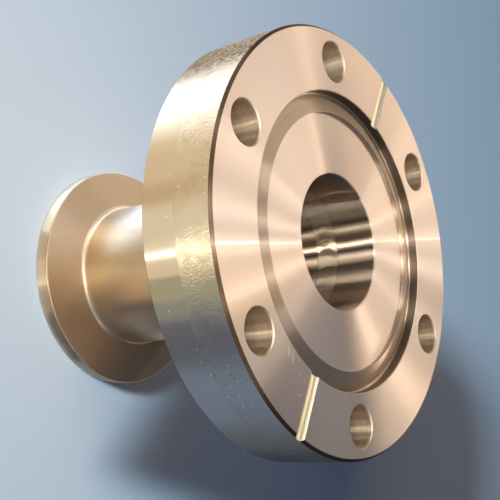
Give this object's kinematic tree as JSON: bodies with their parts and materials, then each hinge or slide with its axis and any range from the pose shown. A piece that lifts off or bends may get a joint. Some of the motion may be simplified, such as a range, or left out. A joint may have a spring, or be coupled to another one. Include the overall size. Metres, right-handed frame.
{
  "type": "adapter flange",
  "caption": "Vacuum adapter: thick bolted knife-edge flange welded to a short stub with a smaller clamp flange, with a straight through bore.",
  "frame": {"origin": "centre of the clamp flange's sealing face, on which the adapter stands", "axes": "+Z along the bore, towards the bolted face; +X along the leak-check grooves"},
  "size_m": [0.0694, 0.0694, 0.0514],
  "materials": {
    "turned_steel": "fine turned, bright",
    "satin_steel": "satin, blasted",
    "weld_steel": "as welded, bright ripples"
  },
  "bodies": {
    "root": {"cf_flange": "turned_steel", "kf_stub": "satin_steel", "weld_bead": "weld_steel"}
  },
  "joints": []
}
